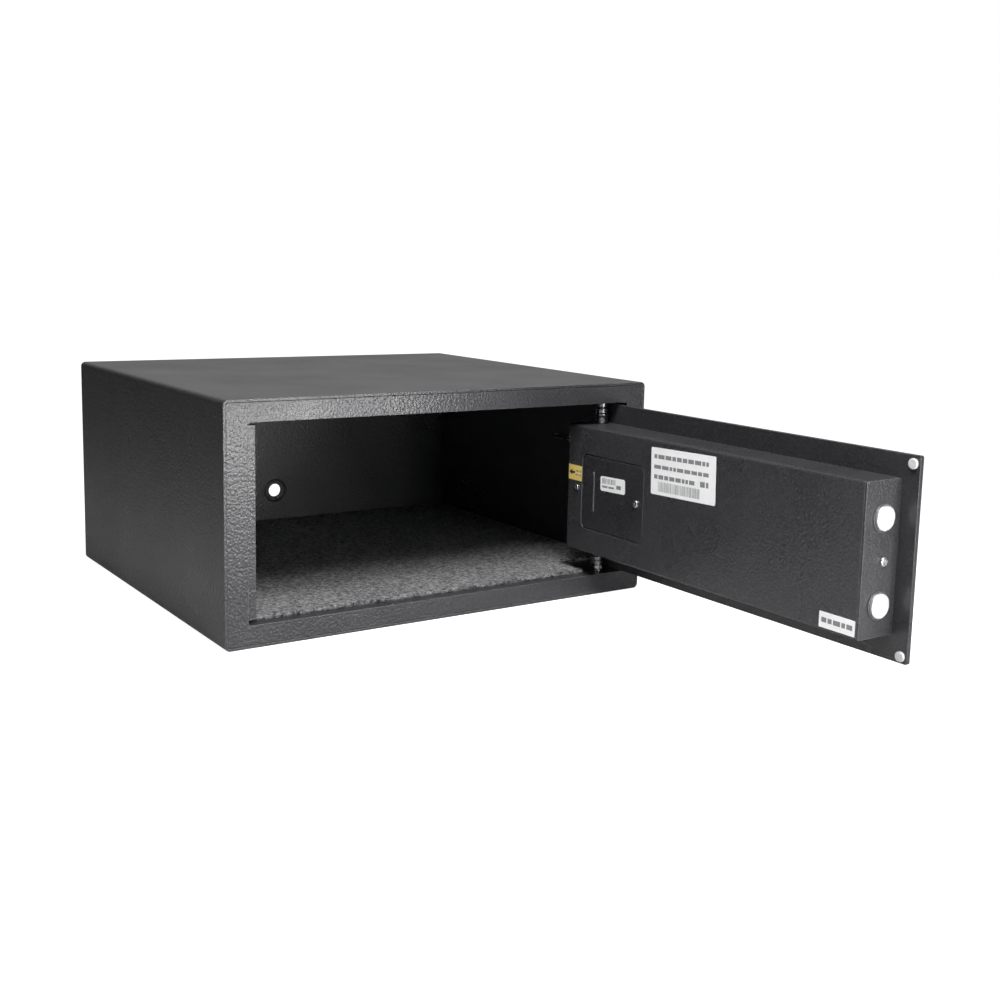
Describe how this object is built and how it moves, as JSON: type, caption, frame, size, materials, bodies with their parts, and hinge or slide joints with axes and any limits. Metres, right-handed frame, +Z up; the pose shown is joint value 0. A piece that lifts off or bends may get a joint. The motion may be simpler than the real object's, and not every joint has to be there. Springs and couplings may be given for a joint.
{
  "type": "hotel room safe",
  "caption": "Steel laptop-size room safe with a hinged door, motor-driven locking bolts, keypad panel and felt floor mat.",
  "frame": {"origin": "centre of the body's flat underside", "axes": "+X to the right seen from the front, +Y to the back, +Z up"},
  "size_m": [0.42, 0.7152, 0.2],
  "materials": {
    "shell_paint": "fine orange-peel powder coat, semi-matt charcoal",
    "carpet_felt": "needle felt",
    "hinge_steel": "turned, dark oiled",
    "zinc_steel": "zinc plated",
    "bolt_chrome": "satin chrome plated",
    "motor_metal": "plated",
    "pinion_brass": "machined",
    "key_brass": "nickel-washed",
    "black_plastic": "moulded ABS",
    "button_red": "moulded",
    "board_green": "solder mask",
    "cell_wrap": "shrink sleeve",
    "pad_grey": "soft moulded",
    "bezel_black": "moulded ABS, semi-gloss",
    "key_grey": "moulded",
    "display_dark": "tinted window",
    "led_green": "tinted lens",
    "mat_rubber": "silicone"
  },
  "bodies": {
    "safe_body": {"body_wrap": "shell_paint", "back_panel": "shell_paint", "front_frame": "shell_paint", "latch_stop_strip": "shell_paint", "floor_deck": "shell_paint", "carpet_mat": "carpet_felt", "hinge_blocks": "shell_paint", "hinge_bushes": "hinge_steel", "hinge_washers": "hinge_steel", "wall_clip": "zinc_steel"},
    "door": {"door_plate": "shell_paint", "lock_case_cover": "shell_paint", "latch_end_plate": "shell_paint", "case_mounts": "zinc_steel", "bolt_bushes": "zinc_steel", "guide_posts": "zinc_steel", "gear_motor": "motor_metal", "motor_bracket": "zinc_steel", "micro_switches": "black_plastic", "circuit_board": "board_green", "board_standoffs": "zinc_steel", "battery_holder": "black_plastic", "batteries": "cell_wrap", "battery_contacts": "zinc_steel", "battery_cover": "shell_paint", "battery_cover_screw": "zinc_steel", "case_screws": "zinc_steel", "bumper_pads": "pad_grey", "hinge_pins": "hinge_steel", "hinge_collars": "hinge_steel", "hinge_set_screws": "zinc_steel", "keypad_bezel": "bezel_black", "bezel_screws": "zinc_steel", "display_window": "display_dark", "status_led": "led_green", "key_mat": "mat_rubber", "keypad_board": "board_green", "lock_cylinder_body": "key_brass", "cylinder_nut": "zinc_steel"},
    "bolt_work": {"bolt_carriage": "zinc_steel", "locking_bolt_upper": "bolt_chrome", "locking_bolt_lower": "bolt_chrome"},
    "pinion": {"drive_pinion": "pinion_brass"},
    "reset": {"reset_button": "button_red"},
    "rotor": {"lock_rotor": "key_brass", "lock_cam": "zinc_steel"},
    "key_cap_cover": {"key_cover": "bezel_black"},
    "button_0": {"key_0": "key_grey"},
    "button_1": {"key_1": "key_grey"},
    "button_2": {"key_2": "key_grey"},
    "button_3": {"key_3": "key_grey"},
    "button_4": {"key_4": "key_grey"},
    "button_5": {"key_5": "key_grey"},
    "button_6": {"key_6": "key_grey"},
    "button_7": {"key_7": "key_grey"},
    "button_8": {"key_8": "key_grey"},
    "button_9": {"key_9": "key_grey"},
    "button_clear": {"key_clear": "key_grey"},
    "button_lock": {"key_lock": "key_grey"}
  },
  "joints": [
    {"name": "door_hinge", "type": "hinge", "parent": "safe_body", "child": "door", "pos_m": [0.1706, -0.1709, 0.1], "axis": [0, 0, 1], "range_deg": [-90, 15]},
    {"name": "bolt_slide", "type": "slide", "parent": "door", "child": "bolt_work", "axis": [0, -1, 0], "range_m": [0, 0.018]},
    {"name": "pinion_spin", "type": "hinge", "parent": "door", "child": "pinion", "pos_m": [0.1657, -0.4209, 0.109], "axis": [1, 0, 0], "range_deg": [-128.9, 0]},
    {"name": "reset_press", "type": "slide", "parent": "door", "child": "reset", "axis": [0, -1, 0], "range_m": [0, 0.0012], "stiffness_N_per_m": 300},
    {"name": "key_turn", "type": "hinge", "parent": "door", "child": "rotor", "pos_m": [0.1807, -0.3209, 0.08], "axis": [1, 0, 0], "range_deg": [0, 90]},
    {"name": "key_cover_swing", "type": "hinge", "parent": "door", "child": "key_cap_cover", "pos_m": [0.1962, -0.3209, 0.097], "axis": [1, 0, 0], "range_deg": [0, 120]},
    {"name": "press_0", "type": "slide", "parent": "door", "child": "button_0", "axis": [-1, 0, 0], "range_m": [0, 0.0012], "stiffness_N_per_m": 400},
    {"name": "press_1", "type": "slide", "parent": "door", "child": "button_1", "axis": [-1, 0, 0], "range_m": [0, 0.0012], "stiffness_N_per_m": 400},
    {"name": "press_2", "type": "slide", "parent": "door", "child": "button_2", "axis": [-1, 0, 0], "range_m": [0, 0.0012], "stiffness_N_per_m": 400},
    {"name": "press_3", "type": "slide", "parent": "door", "child": "button_3", "axis": [-1, 0, 0], "range_m": [0, 0.0012], "stiffness_N_per_m": 400},
    {"name": "press_4", "type": "slide", "parent": "door", "child": "button_4", "axis": [-1, 0, 0], "range_m": [0, 0.0012], "stiffness_N_per_m": 400},
    {"name": "press_5", "type": "slide", "parent": "door", "child": "button_5", "axis": [-1, 0, 0], "range_m": [0, 0.0012], "stiffness_N_per_m": 400},
    {"name": "press_6", "type": "slide", "parent": "door", "child": "button_6", "axis": [-1, 0, 0], "range_m": [0, 0.0012], "stiffness_N_per_m": 400},
    {"name": "press_7", "type": "slide", "parent": "door", "child": "button_7", "axis": [-1, 0, 0], "range_m": [0, 0.0012], "stiffness_N_per_m": 400},
    {"name": "press_8", "type": "slide", "parent": "door", "child": "button_8", "axis": [-1, 0, 0], "range_m": [0, 0.0012], "stiffness_N_per_m": 400},
    {"name": "press_9", "type": "slide", "parent": "door", "child": "button_9", "axis": [-1, 0, 0], "range_m": [0, 0.0012], "stiffness_N_per_m": 400},
    {"name": "press_clear", "type": "slide", "parent": "door", "child": "button_clear", "axis": [-1, 0, 0], "range_m": [0, 0.0012], "stiffness_N_per_m": 400},
    {"name": "press_lock", "type": "slide", "parent": "door", "child": "button_lock", "axis": [-1, 0, 0], "range_m": [0, 0.0012], "stiffness_N_per_m": 400}
  ],
  "couplings": [
    {"joint": "pinion_spin", "follows": "bolt_slide", "rad_per_m": -125}
  ]
}
